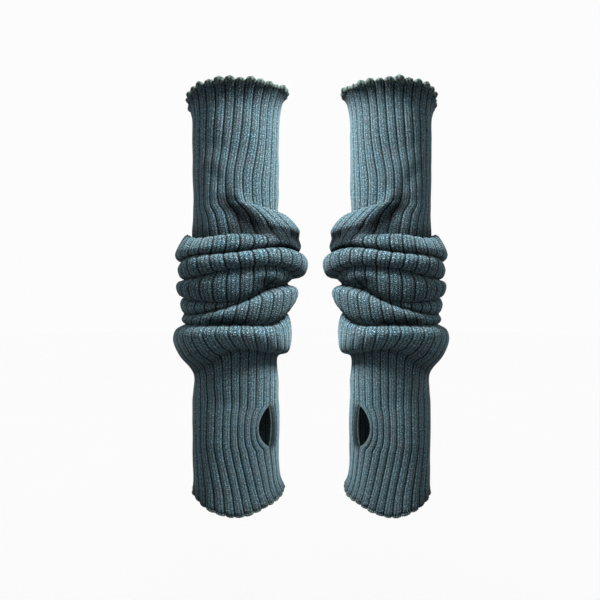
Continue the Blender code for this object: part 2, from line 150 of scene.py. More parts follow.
# reaches of the plain stretches
FOREARM = (36.5, 38, 36.5, 38.5, 39.5, 38, 36, 37.2)
HAND = (39, 37, 33, 37, 39, 36.5, 32, 36.5)
LINES = (
    Line(
        "arm_rim", (255, 261.5, 264.5, 264.5, 267.5, 263.5, 257.5, 254),
        (38.7, 42, 42, 44, 46.5, 44.5, 41.5, 41),
    ),
    Line(
        "arm_flare", (250, 256, 258.5, 258.5, 261.5, 258, 252, 249),
        (38.2, 40.5, 39.5, 41.5, 43.5, 41.5, 39.5, 40),
    ),
    Line(
        "arm_neck", (243, 245, 247, 247, 248, 246, 243, 242),
        (36.7, 38.5, 36.7, 39, 40.5, 38.7, 36.2, 38.2),
    ),
    Line("arm_high", 222, FOREARM),
    Line("arm_mid", (202, 203, 205, 201, 199, 201, 203, 204), FOREARM),
    Line("arm_low", (186, 187, 188, 181, 178, 181, 185, 187), FOREARM),
    Line(
        "a_valley", (171, 168, 167, 155, 153, 157, 168, 172),
        (36.7, 38.6, 38, 39.5, 40, 38.5, 37, 37.5),
    ),
    Line(
        "a_top", (164, 162, 164, 159, 156, 159.5, 162, 165),
        (36.8, 38.6, 39.5, 44, 46.5, 43.5, 38.5, 38.5),
    ),
    Line("a_crest", (155, 153, 155, 147, 143, 149, 153, 157), (37, 39, 41, 52, 59.5, 50, 41, 40)),
    Line(
        "b_valley", (130, 127, 132, 139, 135, 131, 130, 130),
        (39, 40.5, 44, 54.5, 58.5, 46, 41, 41),
    ),
    Line(
        "b_top", (138.5, 133.5, 136, 134.5, 132, 133, 136, 137),
        (43, 45, 48, 56, 59.5, 51, 46, 46),
    ),
    Line(
        "b_crest", (120, 123, 128, 130.5, 128, 124, 123, 121),
        (53.5, 53, 51.5, 57, 60.5, 57, 52, 54),
    ),
    Line(
        "c_valley", (114, 119.5, 122, 127, 121.5, 117, 115, 113.5),
        (46.5, 46.3, 45.5, 51, 57, 48, 44, 46),
    ),
    Line("c_crest", (106, 110, 115, 118, 112, 109, 107, 106), (51, 54.5, 55, 60.5, 67, 60, 54, 54)),
    Line(
        "d_valley", (97.5, 100.5, 108.5, 110, 99, 99.5, 98, 98),
        (45.5, 46, 46, 51.5, 53.5, 47, 45, 46),
    ),
    Line("d_crest", (92.5, 92, 97, 103, 97, 93, 90, 91), (52.7, 53, 51, 53, 50.5, 52, 51, 54)),
    Line(
        "e_valley", (83, 80, 80.5, 94.5, 95.3, 86, 83, 82.5),
        (44.7, 43.2, 43, 44, 48.3, 44, 42, 44),
    ),
    Line(
        "e_crest", (76, 75, 79, 92.3, 93.5, 82, 76, 75),
        (49.7, 48.3, 42.3, 43.3, 48.3, 45, 47, 51),
    ),
    Line(
        "f_valley", (67, 68.5, 77, 90, 91.8, 78, 69, 67),
        (46.5, 43.5, 43, 44, 49.5, 43, 42, 44.5),
    ),
    Line("f_crest", (62, 63, 70.5, 83, 85, 72, 63.5, 62), (48, 50, 51, 55.5, 58, 53, 49, 49)),
    Line(
        "g_valley", (57.5, 59.5, 60.5, 60.5, 74.5, 63, 57, 56.5),
        (45, 44, 43.5, 44, 42, 42, 42, 44),
    ),
    Line("g_crest", (43, 50.5, 53, 49, 44.5, 44, 44, 42), (56, 56, 53.5, 53, 51.5, 52, 51, 56)),
    Line("g_under", (30, 34, 42, 36.5, 30.5, 32, 34, 31), (51.2, 50.7, 45, 48, 48.5, 47, 45, 52)),
    Line(
        "h_valley", (11.5, 21, 37, 33, 26, 23, 20, 14),
        (38.2, 39.5, 37.5, 39.5, 39, 38, 36, 38.5),
    ),
    Line("wrist", (-3, 0, 6, 5, 1, 0, 0, -2), (37.8, 37.2, 34, 37.5, 39, 37, 33, 37)),
    Line("slit_1", -15, HAND),
    Line("slit_4", -34, HAND),
    Line("slit_7", -54, HAND),
    Line("palm", (-74, -75, -77, -76, -74, -73, -72, -73), HAND),
    Line(
        "hand_neck", (-88, -91, -95, -92, -88, -87, -88, -87),
        (39, 37.3, 33.7, 37.7, 40.5, 37.5, 33, 37),
    ),
    Line(
        "hand_flare", (-93, -98.5, -103.5, -98.5, -94.5, -92.5, -93.5, -91.5),
        (39.5, 38, 35.5, 39.5, 43, 39, 35, 37.5),
    ),
    Line(
        "hand_rim", (-96.5, -103.5, -109.5, -103.5, -98.5, -97, -98, -95),
        (40, 39, 37, 41, 45, 41, 36.5, 38.5),
    ),
)
# How far the ribs have swung round the tube at a line, in degrees at left, front, right and back,
# or at eight places round as above.
TURNS = {
    "arm_rim": (-20, -16, -18, -20),
    "arm_flare": (-20, -16, -18, -20),
    "arm_neck": (-20, -17, -18, -20),
    "arm_high": (-20, -21, -20, -20),
    "arm_mid": (-20, -20, -24, -25, -22, -20, -20, -20),
    "arm_low": (-19, -20, -27, -30, -24, -21, -20, -20),
    "a_valley": (-16, -18, -27, -28, -20, -19, -18, -17),
    "a_top": (-15, -18, -26, -24, -15, -17, -17, -16),
    "a_crest": (-12, -14, -18, -10, -4, -10, -15, -14),
    "b_valley": (-10, -9, -9, -3, 0, -7, -14, -12),
    "b_top": (-10, -2, 1, -13),
    "b_crest": (-10, -1, 2, -12),
    "c_valley": (-12, -9, -4, 1, 2, -5, -12, -13),
    "c_crest": (-7, -5, -2, 0, 2, -5, -12, -11),
    "d_valley": (-5, -2, 1, 1, 1, -5, -11, -9),
    "d_crest": (-10, -1, 0, -10),
    "e_valley": (-5, -1, 0, -9),
    "e_crest": (-5, -2, -1, -8),
    "f_valley": (-5, -2, -1, -8),
    "f_crest": (-7, -5, -5, -8),
    "g_valley": (-8, -11, -10, -8),
    "g_crest": (-8, -12, -11, -8),
    "g_under": (-5, -6, -4, -5),
    "h_valley": (-1, 0, 0, -2),
    "palm": (2, 8, 2, 0),
    "hand_neck": (4, 14, 4, 0),
    "hand_flare": (4, 16, 5, 0),
    "hand_rim": (5, 18, 5, 0),
}
# Pleats and soft creases: a ridge where out is above nought, a hollow where it is below.
# Each runs from one place to another, as degrees from the front and mm over the wrist.
Pleat = namedtuple("Pleat", "name start end width out")
PLEATS = (
    Pleat("ridge_over_a", (3, 169), (38, 147), 4.5, 2.5),
    Pleat("hollow_beside_it", (-12, 163), (19, 142), 7, -3),
    Pleat("pocket_under_a", (64, 136), (74, 133), 5, -3.5),
    Pleat("pocket_in_d", (30, 97), (42, 95), 4.5, -3),
    Pleat("ridge_behind", (168, 170), (205, 140), 5, 2.5),
    Pleat("pocket_behind", (150, 97), (160, 92), 5, -3),
    # finer than the solids: the soft creases of the plain stretches, and like ones behind
    Pleat("upper_arm_trough", (-35, 214), (12, 205), 9, -0.9),
    Pleat("upper_arm_swell", (-20, 236), (20, 232), 9, 0.6),
    Pleat("trough_to_the_ridge", (-30, 190), (-8, 172), 7, -1.2),
    Pleat("trough_behind", (150, 212), (200, 200), 9, -1.0),
    Pleat("palm_trough", (-40, -6), (10, -12), 8, -0.9),
    Pleat("palm_swell", (-50, -42), (-10, -48), 9, 0.7),
    Pleat("back_of_hand_trough", (150, -8), (200, -14), 8, -0.9),
)
# Places that get painted shade, in hollows, pockets and swirls between the rolls and beside the
# slit, in the same columns, where out is how much painted shade they get, from 0 to 1.
PAINTED_SHADE_POCKETS = (
    Pleat("beside_the_ridge", (-12, 163), (20, 145), 10, 1.0),
    Pleat("under_a", (45, 136), (78, 133), 9, 1.2),
    Pleat("swirl_in_d", (24, 97), (38, 94), 5, 0.7),
    Pleat("low_on_f", (-25, 64), (10, 62), 5, 0.5),
    Pleat("beside_the_slit", (58, -20), (58, -50), 6, 0.8),
    Pleat("behind_a", (172, 166), (200, 146), 7, 0.7),
    Pleat("swirl_behind", (150, 97), (160, 92), 5, 0.7),
)
# How much painted shade the rings get whose names end so: in the valleys, under the rolls, on rolls
# that the one above shades, under the rims and over the hand. It is given as a square root, which
# keeps the dark narrow.
PAINTED_SHADE_RINGS = {
    "a_valley": 0.35,
    "g_valley": 0.4,
    "valley": 0.85,
    "under": 0.72,
    "c_crest": 0.5,
    "d_crest": 0.6,
    "f_crest": 0.55,
    "arm_rim": 0.8,
    "arm_flare": 0.75,
    "arm_neck": 0.3,
    "slit_4": 0.4,
    "slit_7": 0.45,
    "palm": 0.45,
    "hand_neck": 0.55,
    "hand_flare": 0.7,
    "hand_rim": 0.85,
}
# How far the ribs are pressed flat at such rings.
PRESSED = {
    "valley": 1,
    "crest": 0.55,
    "top": 0.65,
    "under": 0.75,
    "hand_rim": 0.9,
    "hand_flare": 0.4,
}
# How tight the cloth is drawn over such rings, which takes the painted shade out of the grooves
# between ribs.
DRAWN = {"g_crest": 0.25, "g_crest_top": 0.5}
PLEAT_REACH = 46  # mm from the axis, about where the pleats lie
LEAST_GAP = 0.01  # mm between two knots of the curve down the cloth
LEFT_STATION = -90  # degrees from the front: where the first value in a row lies


def linear(hex_colour):
    """An sRGB hex colour as linear red, green and blue."""
    values = [int(hex_colour[i:i + 2], 16) / 255 for i in (1, 3, 5)]
    return tuple(v / 12.92 if v <= 0.04045 else ((v + 0.055) / 1.055) ** 2.4 for v in values)


def around(values, azimuths):
    """A row's values carried smoothly round the tube, at these degrees from the front."""
    values = np.atleast_1d(np.asarray(values, float))
    count = len(values)
    place = (np.asarray(azimuths, float) - LEFT_STATION) / 360 * count
    before = np.floor(place).astype(int)
    t = place - before
    a, b, c, d = (values[(before + step) % count] for step in (-1, 0, 1, 2))
    return b + 0.5 * t * (c - a + t * (2 * a - 5 * b + 4 * c - d + t * (3 * (b - c) + d - a)))


def on_line(line, azimuths):
    """Heights, reaches and turns on a line, at these azimuths."""
    rows = (line.heights, line.reaches, TURNS.get(line.name, 0))
    return np.array([around(row, azimuths) for row in rows])


def on_shoulder(valley, crest, along, out, azimuths):
    """The same on the shoulder between a valley and a crest, round where the roll is deep."""
    low, high = on_line(valley, azimuths), on_line(crest, azimuths)
    deep = np.clip((high[1] - low[1]) / ROUND_DEPTH, 0, 1)
    shares = 0.5 + (np.array([along, out, 0.5])[:, None] - 0.5) * deep
    return low + shares * (high - low)


def rings():
    """Every ring of the cloth from the arm end down: its name, and what gives its place."""
    found = []
    for i, line in enumerate(LINES):
        crest = line.name.endswith("_crest")
        if crest and line.name[0] in TOP_SHOULDERS:
            top = partial(on_shoulder, LINES[i - 1], line, TOP_ALONG, TOP_OUT)
            found.append((line.name + "_top", top))
        found.append((line.name, partial(on_line, line)))
        if crest and line.name[0] in UNDER_SHOULDERS:
            under = partial(on_shoulder, LINES[i + 1], line, UNDER_ALONG, UNDER_OUT)
            found.append((line.name + "_under", under))
    return found


RINGS = rings()
LAST = len(RINGS) - 1


def by_ring(shares, rows):
    """At each row, the shares that are given for the rings whose names end so."""
    at_rings = []
    for name, _ in RINGS:
        fitting = (share for end, share in shares.items() if name.endswith(end))
        at_rings.append(next(fitting, 0))
    return np.interp(rows, np.arange(LAST + 1), at_rings)


def ring_or_beyond(ring, azimuths):
    """A ring's row, or one carried on past either rim."""
    if ring < 0:
        return 2 * RINGS[0][1](azimuths) - RINGS[1][1](azimuths)
    if ring > LAST:
        return 2 * RINGS[LAST][1](azimuths) - RINGS[LAST - 1][1](azimuths)
    return RINGS[ring][1](azimuths)


def between_rings(place, azimuths):
    """Heights, reaches and turns at a place counted in rings down, on a centripetal curve."""
    first = min(int(place), LAST - 1)
    near = [ring_or_beyond(ring, azimuths) for ring in range(first - 1, first + 3)]
    knots = [np.zeros(len(azimuths))]
    for a, b in zip(near, near[1:]):
        gap = np.hypot(*(b - a)[:2])
        knots.append(knots[-1] + np.sqrt(np.maximum(gap, LEAST_GAP)))
    at = knots[1] + (place - first) * (knots[2] - knots[1])
    row = near
    for width in (1, 2):
        row = [
            ((knots[i + width] - at) * row[i] + (at - knots[i]) * row[i + 1])
            / (knots[i + width] - knots[i])
            for i in range(len(row) - 1)
        ]
    return ((knots[2] - at) * row[0] + (at - knots[1]) * row[1]) / (knots[2] - knots[1])


def pleated(pleats, azimuths, heights):
    """How far these pleats and soft creases bring the cloth out, in mm, at these places, or for the
    pockets how much painted shade they give.
    """
    out = np.zeros(len(azimuths))
    for pleat in pleats:
        (from_turn, from_height), (to_turn, to_height) = pleat.start, pleat.end
        across = np.radians((azimuths - from_turn + 180) % 360 - 180) * PLEAT_REACH
        up = heights - from_height
        way = np.array([np.radians(to_turn - from_turn) * PLEAT_REACH, to_height - from_height])
        share = np.clip((across * way[0] + up * way[1]) / (way @ way), 0, 1)
        off = np.hypot(across - share * way[0], up - share * way[1])
        out += pleat.out * np.exp(-((off / pleat.width) ** 2))
    return out


def uneven(azimuths, heights, size, seed):
    """Smooth noise from -1 to 1 over the cloth, with swells about this many mm wide."""
    angles = np.radians(azimuths)
    x, y = np.sin(angles) * PLEAT_REACH, np.cos(angles) * PLEAT_REACH
    places = np.stack([x, y, heights], axis=-1) / size
    shift = Vector((seed, 2 * seed, 3 * seed))
    return np.array([noise.noise(Vector(place) + shift) for place in places])


def scallop(ribs):
    """The wave of a lettuce edge: from -1 in the notch at each groove to 1 on each rib."""
    return 2 * np.abs(np.sin(np.pi * ribs)) ** SCALLOP_FULLNESS - 1


def slit_open(heights):
    """How far open the thumb slit is at these heights, from 0 at its ends to 1."""
    along = np.clip((SLIT_TOP - heights) / (SLIT_TOP - SLIT_BOTTOM), 0, 1) * 2 - 1
    return (1 - along * along) ** SLIT_POINT


def rows_down(step):
    """Places from rim to rim, counted in rings and about step mm apart along the cloth."""
    azimuths = np.arange(0, 360, 15)
    rows = [0.0]
    for ring in range(LAST):
        along = np.hypot(*(RINGS[ring + 1][1](azimuths) - RINGS[ring][1](azimuths))[:2]).mean()
        count = max(2, round(along / step))
        rows += [ring + (i + 1) / count for i in range(count)]
    return rows


def cloth(rows, ribs, settings, seed):
    """Points of the cloth's middle, in mm about the warmer's own axis, with a row for each place.

    ribs counts ribs round from the thumb slit: 0 is on its side lip, and RIBS on its front lip.
    """
    away = ribs * 360 / RIBS
    lip = np.where(away <= 180, 1, -1)
    away = np.where(lip < 0, away - 360, away)
    near = np.exp(-np.abs(away) / SLIT_REACH)
    draw = np.where(lip < 0, -MOST_DRAW[-1], MOST_DRAW[1]) * near
    lift = SIDE_LIP_LIFT * near * (lip > 0)
    wave = scallop(ribs)
    own = 1 + WAVES_DIFFER * np.sin(np.floor(ribs + 1e-6) % RIBS * WAVE_STEP + seed)
    found = []
    for place in rows:
        knitted = SLIT_AZIMUTH + away
        heights, _, turns = between_rings(place, knitted)
        inside = min(1, place, LAST - place)
        wander = settings.wander * uneven(knitted, heights, WANDER_SIZE, seed) * inside
        opened = slit_open(heights)
        azimuths = knitted + turns + opened * draw + wander * (1 - opened)
        heights, reaches, _ = between_rings(place, azimuths)
        out = reaches + pleated(PLEATS, azimuths, heights) + opened * lift
        out = out + settings.unevenness / MM * uneven(azimuths, heights, RIPPLE_SIZE, seed + 7)
        rim = max(0, 1 - min(place, LAST - place) / RUFFLE_REACH) ** RUFFLE_FADE
        if rim:
            past = 1 if place < LAST / 2 else -1
            full = rim * (1 if past > 0 else settings.hand_ruffle) * wave * own
            out = out + settings.ruffle_out / MM * full
            heights = heights + settings.ruffle_up / MM * full * past
        angles = np.radians(azimuths)
        found.append(np.stack([out * np.sin(angles), -out * np.cos(angles), heights], axis=-1))
    points = np.array(found)
    closed = np.abs(slit_open(points[:, 0, 2])) < 1e-9
    middle = (points[:, 0] + points[:, -1]) / 2
    points[closed, 0] = middle[closed]
    points[closed, -1] = middle[closed]
    return points, closed


def outward(points, closed):
    """Unit vectors out of the cloth at every point of its middle."""
    down = np.gradient(points, axis=0)
    across = np.gradient(points, axis=1)
    over_seam = points[closed, 1] - points[closed, -2]
    across[closed, 0] = over_seam
    across[closed, -1] = over_seam
    normals = np.cross(down, across)
    for _ in range(2):
        normals[1:-1] = (normals[:-2] + 2 * normals[1:-1] + normals[2:]) / 4
    normals[closed, 0] = normals[closed, -1] = (normals[closed, 0] + normals[closed, -1]) / 2
    return normals / np.linalg.norm(normals, axis=-1, keepdims=True)


def rib_height(rows, ribs, settings):
    """How far the ribs stand over the narrow grooves between them at each row, in mm."""
    groove = np.abs(np.cos(np.pi * ribs))
    steep = RIB_SHOULDER * (1 - groove ** settings.groove_sharpness)
    profile = steep + RIB_ROUNDING * (1 - groove ** 2)
    kept = 1 - (1 - settings.pressed) * by_ring(PRESSED, rows)
    return settings.rib_rise / MM * kept[:, None] * profile[None, :]


def placed(points, side):
    """Points in mm about a left warmer's own axis, carried to its place in the pair, in metres."""
    turn = math.radians(TURNED_IN)
    x = points[..., 0] * math.cos(turn) - points[..., 1] * math.sin(turn)
    y = points[..., 0] * math.sin(turn) + points[..., 1] * math.cos(turn)
    if side == "right":
        x = -x * RIGHT_WIDTH + AXIS_APART
    return np.stack([x - AXIS_APART / 2, y, points[..., 2]], axis=-1) * MM


def lay_grid(made, points, across, along):
    """A grid of faces laid on rows of points, whose map reads across and along."""
    rows, columns = points.shape[:2]
    patch = bmesh.ops.create_grid(
        made,
        x_segments=columns - 1,
        y_segments=rows - 1,
        size=0.5,
        matrix=Matrix.Translation((0.5, 0.5, 0)),
    )["verts"]
    knit_map = made.loops.layers.uv.active
    verts = [[None] * columns for _ in range(rows)]
    for vert in patch:
        column, row = round(vert.co.x * (columns - 1)), round(vert.co.y * (rows - 1))
        verts[row][column] = vert
        where = (across[column], along[row][column])
        for loop in vert.link_loops:
            loop[knit_map].uv = where
        vert.co = points[row, column]
    return verts


def close_seam(made, verts, closed):
    """Knits a grid's last column of points to its first, in the rows where it is closed."""
    pairs = {row[-1]: row[0] for row, shut in zip(verts, closed) if shut}
    bmesh.ops.weld_verts(made, targetmap=pairs)


def carry_map(made, faces):
    """Gives new faces the map of the faces beside them."""
    knit_map = made.loops.layers.uv.active
    new = set(faces)
    for face in faces:
        for loop in face.loops:
            for other in loop.vert.link_loops:
                if other.face not in new:
                    loop[knit_map].uv = other[knit_map].uv
                    break


def finished(name, made, material, node):
    """The made mesh as an object that stands for a solid and rides with it."""
    bmesh.ops.recalc_face_normals(made, faces=made.faces)
    mesh = bpy.data.meshes.new(name)
    made.to_mesh(mesh)
    made.free()
    mesh.shade_smooth()
    mesh.materials.append(material)
    piece = bpy.data.objects.new(name, mesh)
    bpy.context.scene.collection.objects.link(piece)
    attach(piece, "root")
    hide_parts(node)


def new_mesh():
    """An empty mesh with the knit's map, and with a layer each for painted shade and for how tight
    the cloth is drawn.
    """
    made = bmesh.new()
    made.loops.layers.uv.new("knit")
    made.verts.layers.float.new("tucked")
    made.verts.layers.float.new("drawn")
    return made


def mark_painted_shade(made, verts, rows, middle):
    """Notes at each point how much painted shade it gets and how tight it is drawn, from 0 to 1."""
    tucked, drawn = (made.verts.layers.float[name] for name in ("tucked", "drawn"))
    azimuths = np.degrees(np.arctan2(middle[..., 0], -middle[..., 1]))
    for i, (depth, tight) in enumerate(zip(by_ring(PAINTED_SHADE_RINGS, rows) ** 2, by_ring(DRAWN, rows))):
        depths = np.clip(depth + pleated(PAINTED_SHADE_POCKETS, azimuths[i], middle[i, :, 2]), 0, 1)
        for vert, share in zip(verts[i], depths):
            vert[tucked] = share
            vert[drawn] = tight


def lengths_down(points):
    """How far down the cloth each point is from the first row, in mm."""
    steps = np.linalg.norm(np.diff(points, axis=0), axis=-1)
    return np.concatenate([np.zeros((1, points.shape[1])), np.cumsum(steps, axis=0)])


def wound_roll(path, radius, wraps, lumps, depth):
    """Points of a closed roll of yarn wound round an edge: a row for each point of its path."""
    ahead = np.roll(path, -1, axis=0) - np.roll(path, 1, axis=0)
    ahead /= np.linalg.norm(ahead, axis=-1, keepdims=True)
    centre = path.mean(axis=0)
    out = path - centre
    out -= (out * ahead).sum(-1, keepdims=True) * ahead
    out /= np.linalg.norm(out, axis=-1, keepdims=True)
    up = np.cross(ahead, out)
    turn = np.linspace(0, 2 * np.pi, ROLL_SIDES + 1)[None, :, None]
    share = (np.arange(len(path)) / len(path))[:, None, None]
    strand = 1 + depth * np.cos(2 * np.pi * wraps * share + turn)
    size = radius * strand * lumps[:, None, None]
    rows = path[:, None] + size * (np.cos(turn) * out[:, None] + np.sin(turn) * up[:, None])
    return np.concatenate([rows, rows[:1]])


def wind_edge(side, end, name, path, radius, wraps, lumps):
    """Winds a closed roll of overlock yarn over an edge, as the piece that stands for its solid."""
    material = bpy.data.materials.get(EDGE_YARN) or overlock_yarn(bpy.context.scene.warmers_edge)
    rows = wound_roll(path, radius / MM, wraps, lumps, STRAND_DEPTH[end])
    across = np.linspace(0, 1, ROLL_SIDES + 1)
    strands = np.repeat(np.linspace(0, wraps, len(rows))[:, None], ROLL_SIDES + 1, axis=1)
    made = new_mesh()
    verts = lay_grid(made, placed(rows, side), across, strands)
    close_seam(made, verts, [True] * len(verts))
    bmesh.ops.weld_verts(made, targetmap=dict(zip(verts[-1][:-1], verts[0][:-1])))
    finished(name, made, material, side + "_" + end + "_edging")


def add_node(tree, kind, inputs=(), **settings):
    """Adds a node with its settings, and sets its inputs or links them to nodes or sockets."""
    made = tree.nodes.new(kind)
    for name, value in settings.items():
        setattr(made, name, value)
    for name, value in dict(inputs).items():
        if isinstance(value, bpy.types.Node):
            value = value.outputs[0]
        if isinstance(value, bpy.types.NodeSocket):
            tree.links.new(value, made.inputs[name])
        else:
            made.inputs[name].default_value = value
    return made


def material_tree(name):
    """A new material with its shader."""
    material = bpy.data.materials.new(name)
    material.use_nodes = True
    return material, material.node_tree, material.node_tree.nodes["Principled BSDF"]


def melange_rib_knit(settings):
    """Fine merino-blend melange, machine-knitted in a 3 and 1 rib.

    The eye sees rows of small Vs down each rib, a purl groove between two ribs, flecks where light
    and dark fibres were carded together, and a short soft nap that catches light at a slant. The
    dark in the grooves and at the stitches' edges is painted shade.
    """
    material, tree, shader = material_tree("melange_rib_knit")
    knit = add_node(tree, "ShaderNodeUVMap", uv_map="knit")
    parts = add_node(tree, "ShaderNodeSeparateXYZ", {0: knit})
    ribs, along = parts.outputs[0], parts.outputs[1]
    # place across one knit wale, from -0.5 to 0.5; the purl wale is folded away in the groove
    wales = add_node(tree, MATH, {0: ribs, 1: settings.wales}, operation="MULTIPLY")
    share = add_node(tree, MATH, {0: wales}, operation="FRACT")
    across = add_node(tree, MATH, {0: share, 1: 0.5}, operation="SUBTRACT")
    aside = add_node(tree, MATH, {0: across}, operation="ABSOLUTE")
    # the legs of the Vs slant up to both sides
    course = settings.course / MM
    courses = add_node(tree, MATH, {0: along, 1: 1 / course}, operation="MULTIPLY")
    slant = add_node(tree, MATH, {0: aside, 1: LEG_SLANT, 2: courses}, operation="MULTIPLY_ADD")
    phase = add_node(tree, MATH, {0: slant, 1: 2 * math.pi}, operation="MULTIPLY")
    legs = add_node(tree, MATH, {0: phase}, operation="SINE")
    legs_up = add_node(tree, MATH, {0: legs, 1: 0.5, 2: 0.5}, operation="MULTIPLY_ADD")
    # each wale is rounded, and lowest where it meets the next
    edge = add_node(tree, MATH, {0: aside, 1: 2}, operation="MULTIPLY")
    edge_low = add_node(tree, MATH, {0: edge, 1: WALE_EDGE}, operation="POWER")
    round_wale = add_node(tree, MATH, {0: 1, 1: edge_low}, operation="SUBTRACT")
    stitch = add_node(tree, MATH, {0: legs_up, 1: round_wale}, operation="MULTIPLY")
    # how deep in a groove, for the painted groove shade: 1 at its bottom
    half_turn = add_node(tree, MATH, {0: ribs, 1: math.pi}, operation="MULTIPLY")
    swing = add_node(tree, MATH, {0: half_turn}, operation="COSINE")
    level = add_node(tree, MATH, {0: swing}, operation="ABSOLUTE")
    narrow = add_node(tree, MATH, {0: level, 1: GROOVE_EDGE}, operation="POWER")
    # where the cloth is drawn tight, the grooves get less painted shade
    drawn = add_node(tree, "ShaderNodeAttribute", attribute_name="drawn")
    open_share = add_node(tree, MATH, {0: 1, 1: drawn.outputs["Fac"]}, operation="SUBTRACT")
    groove = add_node(tree, MATH, {0: narrow, 1: open_share}, operation="MULTIPLY")
    # melange flecks, drawn coarser than fibres so that they show
    fleck_scale = (RIB_PITCH / FLECK_WIDTH, 1 / FLECK_LENGTH, 1)
    fleck_at = add_node(tree, "ShaderNodeMapping", {0: knit, 3: fleck_scale})
    flecks = add_node(
        tree,
        "ShaderNodeTexNoise",
        {"Vector": fleck_at, "Scale": 1, "Detail": 2, "Roughness": 0.6},
    )
    dye_at = add_node(tree, "ShaderNodeTexCoord").outputs["Object"]
    blotch_scale = 1 / (BLOTCH_SIZE * MM)
    blotches = add_node(
        tree, "ShaderNodeTexNoise", {"Vector": dye_at, "Scale": blotch_scale, "Detail": 2}
    )
    tones = add_node(tree, "ShaderNodeValToRGB", {0: flecks.outputs["Fac"]})
    ramp = tones.color_ramp
    ramp.elements[0].position, ramp.elements[0].color = 0.27, (*settings.dark, 1)
    ramp.elements[1].position, ramp.elements[1].color = 0.78, (*settings.light, 1)
    middle = ramp.elements.new(0.5)
    middle.color = (*settings.base, 1)
    faded = add_node(tree, MATH, {0: blotches.outputs["Fac"], 1: 0.4}, operation="MULTIPLY")
    dyed = add_node(
        tree,
        "ShaderNodeMix",
        {0: faded, 6: tones, 7: (*settings.base, 1)},
        data_type="RGBA",
    )
    # the fibres were carded from blue, green and brown lots, which lie in patches
    lots = add_node(
        tree, "ShaderNodeTexNoise", {"Vector": dye_at, "Scale": 1 / (LOT_SIZE * MM), "Detail": 1}
    )
    lot_tones = add_node(tree, "ShaderNodeValToRGB", {0: lots.outputs["Fac"]})
    lot_ramp = lot_tones.color_ramp
    lot_ramp.elements[0].position, lot_ramp.elements[0].color = 0.36, (0.92, 1.02, 1.05, 1)
    lot_ramp.elements[1].position, lot_ramp.elements[1].color = 0.64, (1.05, 0.95, 0.94, 1)
    green_lot = lot_ramp.elements.new(0.5)
    green_lot.color = (0.95, 1.01, 0.97, 1)
    # painted shade: the colour is darkened in the valleys, under the rolls and rims, and in the
    # pockets
    tucked = add_node(tree, "ShaderNodeAttribute", attribute_name="tucked")
    # painted shade on the stitches: darker between the legs of the Vs and where two wales meet
    painted_leg_shade = add_node(tree, MATH, {0: legs_up, 1: 0.4, 2: 0.75}, operation="MULTIPLY_ADD")
    painted_wale_shade = add_node(tree, MATH, {0: round_wale, 1: 0.85, 2: 0.25}, operation="MULTIPLY_ADD")
    gap = add_node(tree, MATH, {0: painted_leg_shade, 1: painted_wale_shade}, operation="MULTIPLY")
    # the lots' colours, then painted shade in the grooves, in the folds and pockets, and on the
    # stitches
    tints = (
        (1.0, lot_tones),
        (groove, GROOVE_SHADE_TINT),
        (tucked.outputs["Fac"], PAINTED_SHADE_TINT),
        (1.0, gap),
    )
    for share, tint in tints:
        dyed = add_node(
            tree,
            "ShaderNodeMix",
            {0: share, 6: dyed.outputs[2], 7: tint},
            data_type="RGBA",
            blend_type="MULTIPLY",
        )
    tree.links.new(dyed.outputs[2], shader.inputs["Base Color"])
    lifted = {0: flecks.outputs["Fac"], 1: 0.5, 2: stitch}
    relief = add_node(tree, MATH, lifted, operation="MULTIPLY_ADD")
    bump = add_node(
        tree, "ShaderNodeBump", {"Height": relief, "Strength": 0.7, "Distance": 0.4 * MM}
    )
    tree.links.new(bump.outputs[0], shader.inputs["Normal"])
    shader.inputs["Roughness"].default_value = 0.88
    shader.inputs["IOR"].default_value = 1.45
    shader.inputs["Specular IOR Level"].default_value = 0.05
    # painted shade: the nap's sheen is taken away where the cloth gets painted shade
    nap_in_painted_shade = {0: tucked.outputs["Fac"], 1: -0.24, 2: 0.24}
    nap = add_node(tree, MATH, nap_in_painted_shade, operation="MULTIPLY_ADD")
    tree.links.new(nap.outputs[0], shader.inputs["Sheen Weight"])
    shader.inputs["Sheen Roughness"].default_value = 0.45
    shader.inputs["Sheen Tint"].default_value = (*linear("#A9C6CF"), 1)
    return material


